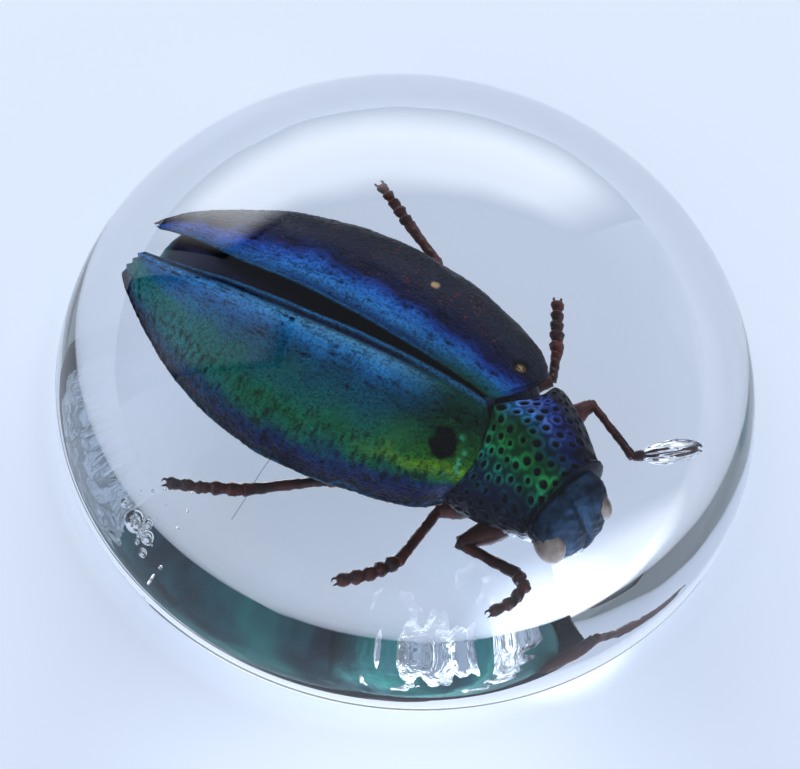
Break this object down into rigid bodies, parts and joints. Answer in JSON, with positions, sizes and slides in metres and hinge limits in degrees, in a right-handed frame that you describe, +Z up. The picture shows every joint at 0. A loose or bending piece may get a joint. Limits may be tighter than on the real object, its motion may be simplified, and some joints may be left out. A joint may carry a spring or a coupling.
{
  "type": "insect in resin block",
  "caption": "Clear resin dome with a flat polished base and a metallic jewel beetle sealed inside, for display or as a paperweight.",
  "frame": {"origin": "middle of the flat base, which stands on the surface", "axes": "+Z up along the dome's axis; +X towards the side where the beetle's head lies, as seen from the front (-Y)"},
  "size_m": [0.065, 0.065, 0.026],
  "materials": {
    "clear_resin": "water-clear cast polyester resin, polished",
    "wing_case": "metallic blue-green chitin, finely pitted",
    "neck_shield": "metallic green chitin with round pits",
    "underside": "dark metallic chitin",
    "leg": "glossy reddish brown chitin",
    "eye": "smooth brown, slightly see-through",
    "trapped_air": "silvery bubbles of air in the resin"
  },
  "bodies": {
    "root": {"resin_block": "clear_resin"}
  },
  "joints": []
}
